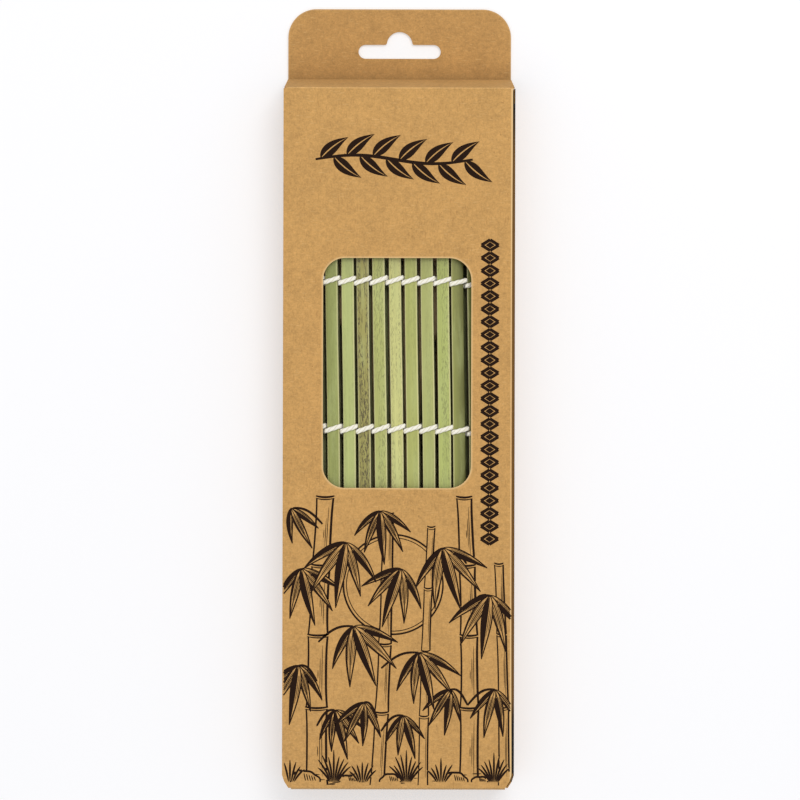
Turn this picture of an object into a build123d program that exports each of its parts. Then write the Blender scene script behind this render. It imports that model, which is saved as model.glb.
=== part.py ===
from build123d import *
import math
import os

# A folding carton that lies on its back and holds a flat-slat bamboo mat, rolled flat in three
# layers round a rice spatula. Millimetres, +Z up, X across the carton, +Y towards the hang tab.
# The origin is at the middle of the whole outline, on the surface that the back panel rests on.

os.makedirs("parts", exist_ok=True)

# Carton board
board = 0.5
overrun = 5.0

# Mat slats, in the order from the free edge of the top layer
slat_count = 38
slat_width = 4.7
slat_gap = 1.37
slat_thickness = 1.8
slat_crown = 0.25
slat_edge_cut = 0.3
slat_length = 244.0

# String rows, each of two strands twined round the slats
row_count = 5
row_end_margin = 8.6
strand_share = 0.693
strand_sides = 6
strand_clearance = 0.04
stitch_slant = 2.1
strand_tail = 1.6

# The rolled mat seen from the end: a gentle shoulder and a tight fold at the right, a fold at the
# left, and an inner layer that sags a little. Fold sizes are shares of the slats' pitch.
shoulder_share = 3.295
shoulder_angle = 20.0
slope_run = 4.7
right_fold_share = 1.071
left_fold_share = 0.906
left_fold_step = 3.7
inner_end_step = 4.1
inner_sag_angle = 3.0

# Room round the rolled mat in the carton
left_room = 3.45
right_room = 7.12
mat_gap = 0.6
mat_fold_lift = 0.6
end_room = 23.0
mat_shift = 3.6

# Hang tab and its euro slot
tab_reach = 33.2
tab_step = 0.9
tab_corner = 11.0
slot_width = 32.0
slot_height = 5.5
slot_hump_radius = 5.0
slot_foot_radius = 0.8
slot_middle_drop = 16.5
ply_start = 1.5

# Front panel: raw seam edge at the right, and the window
seam_inset = 0.9
seam_bow = 0.4
window_width = 56.6
window_height = 87.8
window_corner = 8.4
window_drop = 64.7
window_offset = 0.7

# Lower corners, drawn in by the tuck flap; places along and across the draw as shares of it
corner_draw_across = 2.4
corner_draw_along = 4.9
corner_along_shares = (1.0, 0.5, 0.0)
corner_across_shares = (0.0, 0.35, 1.0)

# Glue flap under the front panel
glue_width = 14.0
glue_end_gap = 5.5
glue_end_taper = 6.0

# Tuck flaps: one panel across the depth and one tongue that goes inside
flap_room = 0.7
flap_crease_gap = 0.3
flap_side_gap = 0.3
flap_side_narrowing = 0.6
tongue_reach = 10.0
tongue_side_gap = 2.0
tongue_corner = 7.0
tongue_slant = 14.0
top_lean = 15.4
top_crease_step = 0.4
low_crease_step = 0.8
fold_radius = 0.45

# Dust flaps
dust_reach = 22.0
dust_crease_gap = 0.7
dust_crease_drop = 1.6
dust_tongue_room = 3.6
dust_crease_taper = 8.0
dust_tongue_taper = 2.2
dust_tip_round = 1.2

# Spatula inside the roll
spatula_length = 196.0
spatula_thickness = 3.4
spatula_blade_width = 57.0
spatula_blade_length = 92.0
spatula_handle_width = 23.0
spatula_edge_round = 0.9
spatula_x = -3.0
spatula_shift = 3.0
spatula_gap = 0.3

# The mat's pitch, its strands and how far they stand off the middle of a slat
slat_pitch = slat_width + slat_gap
strand_size = slat_gap * strand_share
strand_lift = slat_thickness / 2 + strand_clearance + strand_size / 2
stack = strand_lift + strand_size / 2
row_pitch = (slat_length - row_end_margin * 2) / (row_count - 1)

# Sizes of the roll. The top, low and inner layers share out the slats that the folds leave.
shoulder_turn = math.radians(shoulder_angle)
inner_sag = math.radians(inner_sag_angle)
shoulder_radius = slat_pitch * shoulder_share
right_fold_radius = slat_pitch * right_fold_share
left_fold_radius = slat_pitch * left_fold_share
shoulder_reach = shoulder_radius * math.sin(shoulder_turn) + slope_run * math.cos(shoulder_turn)
fold_end_step = shoulder_reach - right_fold_radius * math.sin(shoulder_turn)
fold_lengths = (shoulder_radius * shoulder_turn + slope_run + right_fold_radius * (math.pi - shoulder_turn)
                + left_fold_radius * (math.pi + inner_sag))
layer_steps = fold_end_step + inner_end_step - left_fold_step * 2
top_run = ((slat_count - 1) * slat_pitch - fold_lengths - layer_steps) / 3
roll_reach = top_run + shoulder_reach + right_fold_radius * (1 - math.sin(shoulder_turn)) + stack
roll_drop = (shoulder_radius * (1 - math.cos(shoulder_turn)) + slope_run * math.sin(shoulder_turn)
             + right_fold_radius * (1 + math.cos(shoulder_turn)))

# The carton is sized round the roll
panel_width = board * 2 + left_room + slat_width / 2 + roll_reach + right_room
panel_length = slat_length + end_room
depth = board * 2 + mat_gap * 2 + mat_fold_lift + stack * 2 + roll_drop
half_width = panel_width / 2
low_half_width = half_width - corner_draw_across
tab_width = panel_width - tab_step * 2
flap_reach = depth - board * 2 - flap_room
dust_tongue_drop = depth - dust_tongue_room

# Levels along Y, with the whole outline centred on the origin
low_y = -(panel_length + tab_reach - low_crease_step) / 2
crease_y = low_y + panel_length
tab_top_y = crease_y + tab_reach
mat_y = (low_y + crease_y) / 2 + mat_shift

# Places across the carton and up it that the mat's way starts from
first_slat_x = -half_width + board + left_room + slat_width / 2
top_layer_z = depth - board - mat_gap - stack
low_layer_z = top_layer_z - roll_drop


def save(shape, node):
    export_step(shape, "parts/" + node + ".step")
    print(node, "volume", round(shape.volume, 2))


def face_of(points):
    return make_face(Polyline(*points, close=True))


# A strip with the given outline in the XZ plane that runs from y_from to y_to
def strip(points, y_from, y_to):
    start = Plane(origin=(0, y_from, 0), x_dir=(1, 0, 0), z_dir=(0, -1, 0))
    return extrude(start * face_of(points), amount=-(y_to - y_from))


# A panel's section carried along the carton. Its outer edges turn in at the lower corners, where
# each point moves towards the middle
def drawn_strip(points):
    sections = []
    for along, across in zip(corner_along_shares, corner_across_shares):
        station = Plane(origin=(0, low_y + corner_draw_along * along, 0), x_dir=(1, 0, 0), z_dir=(0, -1, 0))
        moved = [(x - math.copysign(corner_draw_across * across, x), z) for x, z in points]
        sections.append(station * face_of(moved))
    return strip(points, low_y + corner_draw_along, crease_y) + loft(sections, ruled=True)


# A plate of board thickness on a plane, grown against the plane's normal
def plate(plane, outline):
    return extrude(plane * outline, amount=-board)


def slot_outline():
    body = SlotOverall(slot_width, slot_height)
    hump = Pos(0, slot_height / 2) * Circle(slot_hump_radius)
    lower = Pos(0, -slot_hump_radius / 2) * Rectangle(slot_width, slot_hump_radius)
    hump = hump - lower
    outline = body + hump
    feet = outline.vertices().filter_by(lambda v: abs(v.Y - slot_height / 2) < slot_foot_radius / 2)
    feet = [v for v in feet if abs(abs(v.X) - slot_hump_radius) < slot_foot_radius]
    return fillet(feet, slot_foot_radius)


# Hang tab outline in the XY plane, from its foot at the given y up to the rounded top
def tab_outline(foot_y):
    height = tab_top_y - foot_y
    outline = Pos(0, foot_y + height / 2) * Rectangle(tab_width, height)
    outline = fillet(outline.vertices().group_by(Axis.Y)[-1], tab_corner)
    return outline - Pos(0, tab_top_y - slot_middle_drop) * slot_outline()


def back_panel():
    inner = half_width - board
    body = drawn_strip([(-half_width, 0), (half_width, 0), (inner, board), (-inner, board)])
    tab = extrude(tab_outline(crease_y - board), amount=board)
    return body + tab


# The hang tab's second ply is folded over its top edge and glued to the first
def hang_tab_ply():
    ply = extrude(Pos(0, 0, board) * tab_outline(crease_y + ply_start), amount=board)
    return ply


def left_side():
    inner = half_width - board
    return drawn_strip([(-half_width, 0), (-inner, board), (-inner, depth - board), (-half_width, depth)])


def right_side():
    inner = half_width - board
    top = depth - board
    return drawn_strip([(half_width, 0), (half_width, top), (inner, top - board), (inner, board)])


# The glue flap turns in from the right side and lies under the front panel, with tapered ends
def glue_flap():
    top = depth - board
    inner = half_width - glue_width
    flap = strip([(half_width, top), (inner, top), (inner, top - board), (half_width - board, top - board)],
                 low_y, crease_y)
    ends = face_of([(half_width, low_y + glue_end_gap),
                    (half_width, crease_y - glue_end_gap),
                    (inner, crease_y - glue_end_gap - glue_end_taper),
                    (inner, low_y + glue_end_gap + glue_end_taper)])
    return flap & extrude(ends, amount=depth)


# Front panel: mitred at the left, with a slightly bowed raw edge at the right
def front_panel():
    inner = half_width - board
    raw_x = half_width - seam_inset
    panel = drawn_strip([(-half_width, depth), (-inner, depth - board),
                         (raw_x, depth - board), (raw_x, depth)])
    bow = make_face([Line((raw_x, low_y), (raw_x, crease_y)),
                     ThreePointArc((raw_x, crease_y), (raw_x - seam_bow, (low_y + crease_y) / 2),
                                   (raw_x, low_y))])
    panel -= extrude(bow, amount=depth + overrun)
    window_y = crease_y - window_drop - window_height / 2
    window = Pos(-window_offset, window_y) * RectangleRounded(window_width, window_height, window_corner)
    panel -= extrude(window, amount=depth + overrun)
    return panel


# A tuck flap of the given half width in its own frame: crease along X at the origin, the panel
# down local Y with its outer face on the plane, and the tongue turned in at the far fold by a
# little more than a right angle
def tuck_flap(near):
    far = near - flap_side_narrowing
    panel_face = face_of([(-near, flap_crease_gap), (near, flap_crease_gap),
                          (far, flap_reach), (-far, flap_reach)])
    panel = plate(Plane.XY, panel_face)
    bevel = face_of([(0, 0), (flap_crease_gap, 0), (flap_crease_gap + board, -board), (0, -board)])
    bevel_plane = Plane(origin=(-half_width, 0, 0), x_dir=(0, 1, 0), z_dir=(1, 0, 0))
    panel -= extrude(bevel_plane * bevel, amount=panel_width)
    tongue_half = far - tongue_side_gap
    slant = math.radians(tongue_slant)
    tongue_plane = Plane(origin=(0, flap_reach, 0), x_dir=(-1, 0, 0),
                         z_dir=(0, math.cos(slant), -math.sin(slant)))
    outline = Pos(0, -tongue_reach / 2) * Rectangle(tongue_half * 2, tongue_reach)
    outline = fillet(outline.vertices().group_by(Axis.Y)[0], tongue_corner)
    tongue = plate(tongue_plane, outline)
    flap = panel + tongue
    flap -= Pos(0, flap_reach, overrun / 2) * Box(panel_width, overrun, overrun)
    folds = flap.edges().filter_by(Axis.X)
    far_fold = folds.sort_by(lambda e: abs(e.center().Y - flap_reach) + abs(e.center().Z))[0]
    return fillet(far_fold, fold_radius)


# A frame whose local Y runs down the closed flap and whose local Z is the flap's outer side
def top_flap():
    lean = math.radians(top_lean)
    frame = Plane(origin=(0, crease_y + top_crease_step, depth), x_dir=(1, 0, 0),
                  z_dir=(0, math.cos(lean), math.sin(lean)))
    return frame * tuck_flap(half_width - flap_side_gap)


def bottom_flap():
    frame = Plane(origin=(0, low_y - low_crease_step, 0), x_dir=(1, 0, 0), z_dir=(0, -1, 0))
    return frame * tuck_flap(low_half_width - flap_side_gap)


# A dust flap folds in from a side panel and tapers on both edges, so that it clears the tuck flap.
# side is -1 for the left and 1 for the right; top is True at the hang tab's end
def dust_flap(side, top):
    outer_x = side * (half_width if top else low_half_width)
    outer_y = crease_y if top else low_y
    outward = 1 if top else -1
    across = -side
    down = -1 if top else 1
    base_z = depth if top else 0

    def place(u, v, w):
        return (outer_x + across * u, outer_y - outward * w, base_z + down * v)

    corners = [(dust_crease_gap, dust_crease_drop), (dust_crease_gap, dust_tongue_drop),
               (dust_reach, dust_tongue_drop - dust_tongue_taper),
               (dust_reach, dust_crease_drop + dust_crease_taper)]
    outer = [place(u, v, 0) for u, v in corners]
    flap = extrude(make_face(Polyline(*outer, close=True)), amount=board, dir=(0, -outward, 0))
    tip_x = outer_x + across * dust_reach
    tips = flap.edges().filter_by(Axis.Y).filter_by(lambda e: abs(e.center().X - tip_x) < board)
    return fillet(tips, dust_tip_round)


# The mat's way as runs and arcs, each with its length or its radius and turn; all arcs turn
# clockwise as seen from the lower end
mat_way = [("run", top_run, 0),
           ("arc", shoulder_radius, shoulder_turn),
           ("run", slope_run, 0),
           ("arc", right_fold_radius, math.pi - shoulder_turn),
           ("run", top_run + fold_end_step - left_fold_step, 0),
           ("arc", left_fold_radius, math.pi + inner_sag),
           ("run", slat_pitch * slat_count, 0)]


# Centre and heading angle of the mat's way at one distance from the first slat
def way_point(distance):
    x, z, angle = first_slat_x, top_layer_z, 0.0
    left = distance
    for kind, size, turn in mat_way:
        length = size if kind == "run" else size * turn
        step = min(left, length)
        if kind == "run":
            x += step * math.cos(angle)
            z += step * math.sin(angle)
        else:
            end = angle - step / size
            x += size * (math.sin(angle) - math.sin(end))
            z += size * (math.cos(end) - math.cos(angle))
            angle = end
        left -= step
        if left <= 0:
            break
    return x, z, angle


# A slat's section: flat inner face, cut corners, and the slightly crowned green skin face outside
def slat_section():
    half = slat_width / 2
    low = -slat_thickness / 2
    high = slat_thickness / 2 - slat_crown
    cut = slat_edge_cut
    return make_face([Polyline((-half, high), (-half, low + cut), (-half + cut, low), (half - cut, low),
                               (half, low + cut), (half, high)),
                      ThreePointArc((half, high), (0, slat_thickness / 2), (-half, high))])


def slat(station, middle_y):
    x, z, angle = station
    frame = Plane(origin=(x, middle_y + slat_length / 2, z),
                  x_dir=(math.cos(angle), 0, math.sin(angle)), z_dir=(0, -1, 0))
    return extrude(frame * slat_section(), amount=slat_length)


# One strand of a string row. It lies over one slat and under the next, and crosses between the
# slats; phase 0 starts over the first slat, phase 1 under it.
def strand(stations, row_y, phase):
    frames = []
    for x, z, angle in stations:
        frames.append((Vector(x, 0, z), Vector(math.cos(angle), 0, math.sin(angle)),
                       Vector(-math.sin(angle), 0, math.cos(angle))))
    half_gap = (slat_pitch - slat_width) / 2
    points = []
    for i, (centre, along, out) in enumerate(frames):
        side = 1 if (i + phase) % 2 == 0 else -1
        if i == 0:
            entry = centre - along * (slat_width / 2 + half_gap + strand_tail) + out * (side * strand_lift)
        else:
            entry = stitch_end(frames[i - 1], frames[i], frames[i], side * strand_lift)
        if i == len(frames) - 1:
            leave = centre + along * (slat_width / 2 + half_gap + strand_tail) + out * (side * strand_lift)
        else:
            leave = stitch_end(frames[i], frames[i + 1], frames[i], side * strand_lift)
        points.append(entry + Vector(0, row_y - side * stitch_slant / 2, 0))
        points.append(leave + Vector(0, row_y + side * stitch_slant / 2, 0))
    way = Polyline(*points)
    start = Plane(origin=way @ 0, x_dir=(0, 1, 0), z_dir=way % 0)
    section = start * RegularPolygon(strand_size / 2, strand_sides)
    return sweep(section, path=way, transition=Transition.RIGHT)


# Where a stitch that lies at the given height over one slat meets the middle of the gap beside it
def stitch_end(before, after, owner, height):
    edge_a = before[0] + before[1] * (slat_width / 2)
    edge_b = after[0] - after[1] * (slat_width / 2)
    middle = (edge_a + edge_b) / 2
    across = (before[2] + after[2]).normalized()
    reach = (height - (middle - owner[0]).dot(owner[2])) / across.dot(owner[2])
    return middle + across * reach


def spatula(middle_y):
    base_z = low_layer_z + stack + spatula_gap
    blade = spatula_blade_width / 2
    grip = spatula_handle_width / 2
    low = -spatula_length / 2
    neck = spatula_length / 2 - spatula_blade_length
    crown = spatula_length / 2 - blade
    edge = [Line((grip, low + grip), (grip, neck)),
            Spline((grip, neck), (blade, crown), tangents=[(0, 1), (0, 1)]),
            ThreePointArc((blade, crown), (0, spatula_length / 2), (-blade, crown)),
            Spline((-blade, crown), (-grip, neck), tangents=[(0, -1), (0, -1)]),
            Line((-grip, neck), (-grip, low + grip)),
            ThreePointArc((-grip, low + grip), (0, low), (grip, low + grip))]
    body = extrude(make_face(edge), amount=spatula_thickness)
    rims = body.edges().group_by(Axis.Z)
    body = chamfer(list(rims[0]) + list(rims[-1]), spatula_edge_round)
    return Pos(spatula_x, middle_y + spatula_shift, base_z) * body


save(back_panel(), "back_panel")
save(hang_tab_ply(), "hang_tab_ply")
save(left_side(), "left_side")
save(right_side(), "right_side")
save(glue_flap(), "glue_flap")
save(front_panel(), "front_panel")
save(top_flap(), "top_flap")
save(bottom_flap(), "bottom_flap")
for end_name, at_top in (("top", True), ("bottom", False)):
    for side_name, side_sign in (("left", -1), ("right", 1)):
        save(dust_flap(side_sign, at_top), end_name + "_dust_flap_" + side_name)

stations = [way_point(i * slat_pitch) for i in range(slat_count)]
for number, station in enumerate(stations, start=1):
    save(slat(station, mat_y), "slat_" + str(number).zfill(2))
for row in range(row_count):
    row_y = mat_y + (row - (row_count - 1) / 2) * row_pitch
    pair = Compound(children=[strand(stations, row_y, 0), strand(stations, row_y, 1)])
    save(pair, "string_row_" + str(row + 1))
    box = pair.bounding_box()
print("string rows from", round(box.min.Z, 3), "to", round(box.max.Z, 3), "and from",
      round(box.min.X, 2), "to", round(box.max.X, 2))
save(spatula(mat_y), "spatula")
print("mat from", round(mat_y - slat_length / 2 - low_y, 2), "above the lower edge to",
      round(crease_y - mat_y - slat_length / 2, 2), "below the top crease")
print("first slat at", [round(value, 3) for value in stations[0]], "last slat at",
      [round(value, 3) for value in stations[-1]])
print("panel width", round(panel_width, 3), "length", round(panel_length, 3), "depth", round(depth, 3),
      "top run", round(top_run, 3), "low layer", round(low_layer_z, 3))
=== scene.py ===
import math

import bpy
import numpy as np
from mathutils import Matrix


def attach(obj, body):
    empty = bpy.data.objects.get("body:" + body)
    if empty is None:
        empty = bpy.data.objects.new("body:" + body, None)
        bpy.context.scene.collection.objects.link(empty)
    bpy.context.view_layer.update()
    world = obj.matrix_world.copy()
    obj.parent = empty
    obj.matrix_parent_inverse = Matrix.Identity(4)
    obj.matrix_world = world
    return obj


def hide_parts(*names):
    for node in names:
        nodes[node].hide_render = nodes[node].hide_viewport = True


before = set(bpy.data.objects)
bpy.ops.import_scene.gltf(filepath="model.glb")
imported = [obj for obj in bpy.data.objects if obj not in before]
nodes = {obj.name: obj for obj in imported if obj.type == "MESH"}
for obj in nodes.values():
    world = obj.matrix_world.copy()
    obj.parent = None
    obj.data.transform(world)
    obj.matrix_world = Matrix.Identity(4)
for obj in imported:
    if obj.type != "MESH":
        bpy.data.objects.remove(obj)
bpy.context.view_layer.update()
mm = 0.001


# meshes, attributes and colours

def putObject(name, data):
    made = bpy.data.objects.new(name, data)
    bpy.context.scene.collection.objects.link(made)
    return made


def putMesh(name, points, faces, smooth=True):
    mesh = bpy.data.meshes.new(name)
    mesh.from_pydata(points.tolist(), [], faces, shade_flat=not smooth)
    mesh.update()
    return putObject(name, mesh)


# rings of points (ring, around, xyz) joined by quads, each end closed by one flat face
def ringFaces(rings, around, start=0):
    ring = np.arange(rings - 1)[:, None] * around
    here = np.arange(around)
    there = (here + 1) % around
    quads = np.stack([ring + here, ring + there, ring + around + there, ring + around + here], -1)
    faces = (quads.reshape(-1, 4) + start).tolist()
    faces.append((np.arange(around)[::-1] + start).tolist())
    faces.append((np.arange(around) + start + (rings - 1) * around).tolist())
    return faces


def putAttribute(piece, name, kind, values):
    layer = piece.data.attributes.new(name, kind, "POINT")
    field = {"FLOAT": "value", "FLOAT_VECTOR": "vector", "FLOAT_COLOR": "color"}[kind]
    layer.data.foreach_set(field, np.ascontiguousarray(values, dtype=np.float32).ravel())


def dress(piece, material):
    piece.data.materials.clear()
    piece.data.materials.append(material)


# screen colour 0..255 to the linear values that shaders take
def paint(red, green, blue):
    value = np.array([red, green, blue]) / 255
    linear = np.where(value < 0.04045, value / 12.92, ((value + 0.055) / 1.055) ** 2.4)
    return (*linear.tolist(), 1.0)


# shader nodes

def addNode(tree, kind, inputs=None, **settings):
    made = tree.nodes.new("ShaderNode" + kind)
    for name, value in settings.items():
        setattr(made, name, value)
    for name, value in (inputs or {}).items():
        socket = made.inputs[name]
        if isinstance(value, bpy.types.NodeSocket):
            tree.links.new(value, socket)
        else:
            socket.default_value = value
    return made


def calc(tree, operation, *values, clamp=False):
    made = addNode(tree, "Math", dict(enumerate(values)), operation=operation, use_clamp=clamp)
    return made.outputs[0]


def times(tree, first, second):
    return calc(tree, "MULTIPLY", first, second)


def vec(tree, operation, *values):
    made = addNode(tree, "VectorMath", dict(enumerate(values)), operation=operation)
    return made.outputs["Value" if operation in ("LENGTH", "DOT_PRODUCT") else "Vector"]


def noise(tree, place, scale, detail=2.0, rough=0.5):
    inputs = {"Vector": place, "Scale": scale, "Detail": detail, "Roughness": rough}
    return addNode(tree, "TexNoise", inputs).outputs["Fac"]


# a smooth rise from start to end while the value goes from low to high
def ramp(tree, value, low, high, start=0.0, end=1.0):
    inputs = {"Value": value, "From Min": low, "From Max": high, "To Min": start, "To Max": end}
    return addNode(tree, "MapRange", inputs, interpolation_type="SMOOTHSTEP").outputs["Result"]


def mixColour(tree, amount, first, second):
    made = addNode(tree, "Mix", {0: amount, 6: first, 7: second}, data_type="RGBA")
    return made.outputs[2]


def brighten(tree, colour, value):
    return addNode(tree, "HueSaturation", {"Color": colour, "Value": value}).outputs["Color"]


# another colour laid over the first where the mask is 1, to the amount given
def lay(tree, colour, mask, amount, over):
    return mixColour(tree, times(tree, mask, amount), colour, paint(*over))


def darken(tree, colour, amount):
    return brighten(tree, colour, calc(tree, "SUBTRACT", 1.0, amount))


# noise of 0 to 1 made to swing evenly about zero
def swing(tree, value, amount):
    return calc(tree, "MULTIPLY_ADD", value, amount, -amount / 2)


def objectPlace(tree):
    return addNode(tree, "TexCoord").outputs["Object"]


def toMillimetres(tree, place):
    return vec(tree, "MULTIPLY", place, (1000.0, 1000.0, 1000.0))


def partsOf(tree, vector):
    return addNode(tree, "SeparateXYZ", {"Vector": vector}).outputs


def attribute(tree, name):
    return addNode(tree, "Attribute", attribute_name=name).outputs


def stretch(tree, place, scale, turn=0.0):
    inputs = {"Vector": place, "Scale": scale, "Rotation": (0.0, 0.0, turn)}
    return addNode(tree, "Mapping", inputs).outputs["Vector"]


def newGroup(name, inputs, outputs):
    group = bpy.data.node_groups.new(name, "ShaderNodeTree")
    for way, sockets in (("INPUT", inputs), ("OUTPUT", outputs)):
        for label, kind in sockets.items():
            group.interface.new_socket(label, in_out=way, socket_type="NodeSocket" + kind)
    return group, group.nodes.new("NodeGroupInput").outputs, group.nodes.new("NodeGroupOutput").inputs


def useGroup(tree, group, **inputs):
    return addNode(tree, "Group", inputs, node_tree=group).outputs


def newMaterial(name):
    material = bpy.data.materials.new(name)
    material.use_nodes = True
    tree = material.node_tree
    return material, tree, tree.nodes["Principled BSDF"].inputs


def bump(tree, height, strength, distance):
    inputs = {"Height": height, "Strength": strength, "Distance": distance}
    return addNode(tree, "Bump", inputs).outputs["Normal"]


# noise drawn out along the axes, for fibres
def drawnNoise(tree, place, scale, detail, rough):
    return noise(tree, stretch(tree, place, scale), 1.0, detail, rough)


def finishSurface(tree, shader, colour, roughness, normal=None, specular=None):
    tree.links.new(colour, shader["Base Color"])
    tree.links.new(roughness, shader["Roughness"])
    if normal:
        tree.links.new(normal, shader["Normal"])
    if specular is not None:
        shader["Specular IOR Level"].default_value = specular


# the carton's kraft board

kraft = {
    "face": (197, 151, 88),
    "backFace": (188, 142, 82),
    "endFace": (190, 146, 86),
    "creaseFace": (216, 172, 108),
    "cutEdge": (236, 200, 144),
    "cutAmount": 0.8,
    "fibreLight": (220, 178, 116),
    "fibreDark": (160, 114, 62),
    "speck": (112, 76, 38),
    # painted shade in the seam's groove: near black at its ends, dark brown in its middle
    "seam": (12, 6, 2),
    "seamMiddle": (106, 74, 32),
    "roughness": 0.82,
    "roughSwing": 0.16,
    "cloud": (0.11, 3.0, 0.5, 0.26),  # scale, detail, roughness and strength of each noise
    "grain": (1.7, 3.0, 0.65, 0.62),
    "flecks": (0.62, 3.0, 0.75, 0.64),
    "lightRun": ((0.35, 2.4, 1.1), 0.7),  # how the fibres are drawn out and turned
    "darkRun": ((2.6, 0.3, 1.1), 0.35),
    "lightAmount": 0.4,
    "darkAmount": 0.38,
    "speckAmount": 0.7,
    "bump": (0.35, 0.00008),
    "specular": 0.3,
}


# board colour = base * (1 + cloud + grain + flecks), with light and dark fibres (noise stretched two ways)
# and rare dark specks (near the centres of Voronoi cells) laid over it
def kraftFibres():
    group, given, out = newGroup("kraftFibres", {"Place": "Vector", "Base": "Color"},
                                 {"Colour": "Color", "Height": "Float", "Roughness": "Float"})
    place = toMillimetres(group, given["Place"])
    cloud, grain, flecks = [noise(group, place, *kraft[layer][:3]) for layer in ("cloud", "grain", "flecks")]
    light = ramp(group, noise(group, stretch(group, place, *kraft["lightRun"]), 1.0, 1.5), 0.6, 0.74)
    dark = ramp(group, noise(group, stretch(group, place, *kraft["darkRun"]), 0.9, 1.5), 0.62, 0.74)
    dots = addNode(group, "TexVoronoi", {"Vector": place, "Scale": 0.2}).outputs["Distance"]
    speck = ramp(group, dots, 0.05, 0.02)
    lift = swing(group, cloud, kraft["cloud"][3])
    lift = calc(group, "ADD", lift, swing(group, grain, kraft["grain"][3]))
    lift = calc(group, "ADD", lift, swing(group, flecks, kraft["flecks"][3]))
    colour = brighten(group, given["Base"], calc(group, "ADD", lift, 1.0))
    colour = lay(group, colour, light, kraft["lightAmount"], kraft["fibreLight"])
    colour = lay(group, colour, dark, kraft["darkAmount"], kraft["fibreDark"])
    colour = lay(group, colour, speck, kraft["speckAmount"], kraft["speck"])
    group.links.new(colour, out["Colour"])
    group.links.new(calc(group, "ADD", grain, times(group, light, 0.5)), out["Height"])
    rough = calc(group, "MULTIPLY_ADD", grain, kraft["roughSwing"],
                 kraft["roughness"] - kraft["roughSwing"] / 2)
    group.links.new(rough, out["Roughness"])
    return group


# 1 in a narrow band along a round-cornered rectangle's outline, 0 elsewhere:
# distance = length(max(|p - centre| - half + radius, 0)) - radius; a half of 1 m up leaves height out
def outlineBand():
    inputs = {"Place": "Vector", "Centre": "Vector", "Half": "Vector", "Radius": "Float", "Width": "Float"}
    group, given, out = newGroup("outlineBand", inputs, {"Mask": "Float"})
    away = vec(group, "ABSOLUTE", vec(group, "SUBTRACT", given["Place"], given["Centre"]))
    corner = addNode(group, "CombineXYZ", {"X": given["Radius"], "Y": given["Radius"]}).outputs[0]
    over = vec(group, "ADD", vec(group, "SUBTRACT", away, given["Half"]), corner)
    distance = calc(group, "SUBTRACT", vec(group, "LENGTH", vec(group, "MAXIMUM", over, (0.0, 0.0, 0.0))),
                    given["Radius"])
    share = calc(group, "DIVIDE", calc(group, "ABSOLUTE", distance), given["Width"])
    group.links.new(calc(group, "SUBTRACT", 1.0, share, clamp=True), out["Mask"])
    return group


fibres = kraftFibres()
band = outlineBand()
# in metres, as the shaders measure places
windowRim = {"Centre": (-0.0007, 0.0087, 0), "Half": (0.0283, 0.0439, 1), "Radius": 0.0084, "Width": 0.0008}
tabRim = {"Centre": (0, 0, 0), "Half": (0.04335, 0.1505, 1), "Radius": 0.011, "Width": 0.0006}
rawEdge = (0.04245, 0.04285)  # where the front panel's pale seam edge starts and is full, along x
# painted shade at the tab's foot, beside the top flap, in metres
tabFoot = {"y": 0.118, "reach": 0.015, "shade": 0.25, "line": 0.0018, "lineShade": 0.3}
# where the painted seam shade lies, in metres
seamEdge = {"x": 0.0432, "y": 0.1112, "z": 0.0213, "top": (0.088, 0.112), "low": (-0.113, -0.126)}


def facing(tree, coords, way):
    return vec(tree, "DOT_PRODUCT", coords["Normal"], way)


# painted shade in the seam's groove and on the side's inner face past the glue flap,
# near black towards both ends
def seamGroove(tree, coords, colour, seam):
    apart = partsOf(tree, coords["Object"])
    grooveShade = times(tree, ramp(tree, apart["X"], seam["x"] - 0.0001, seam["x"] + 0.0001),
                   ramp(tree, apart["Z"], seam["z"] - 0.0002, seam["z"]))
    inner = ramp(tree, facing(tree, coords, (-1, 0, 0)), 0.5, 0.9)
    pastFlap = times(tree, ramp(tree, apart["Y"], seam["y"], seam["y"] + 0.001),
                     ramp(tree, apart["Z"], seam["z"] - 0.011, seam["z"] - 0.005))
    grooveShade = calc(tree, "MAXIMUM", grooveShade, times(tree, inner, pastFlap))
    ends = calc(tree, "MAXIMUM", ramp(tree, apart["Y"], *seam["top"]), ramp(tree, apart["Y"], *seam["low"]))
    line = mixColour(tree, ends, paint(*kraft["seamMiddle"]), paint(*kraft["seam"]))
    return mixColour(tree, grooveShade, colour, line)


# painted shade: the tab's upward face is darker near its foot, where the top flap shades it,
# with a darker line right beside the top flap
def footShade(tree, coords, colour, foot):
    along = partsOf(tree, coords["Object"])["Y"]
    wide = ramp(tree, along, foot["y"] + foot["reach"], foot["y"], 0.0, foot["shade"])
    thin = ramp(tree, along, foot["y"] + foot["line"], foot["y"], 0.0, foot["lineShade"])
    onTab = times(tree, ramp(tree, along, foot["y"] - 0.0008, foot["y"] - 0.0002),
                  ramp(tree, facing(tree, coords, (0, 0, 1)), 0.4, 0.6))
    return darken(tree, colour, times(tree, calc(tree, "ADD", wide, thin), onTab))


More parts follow.
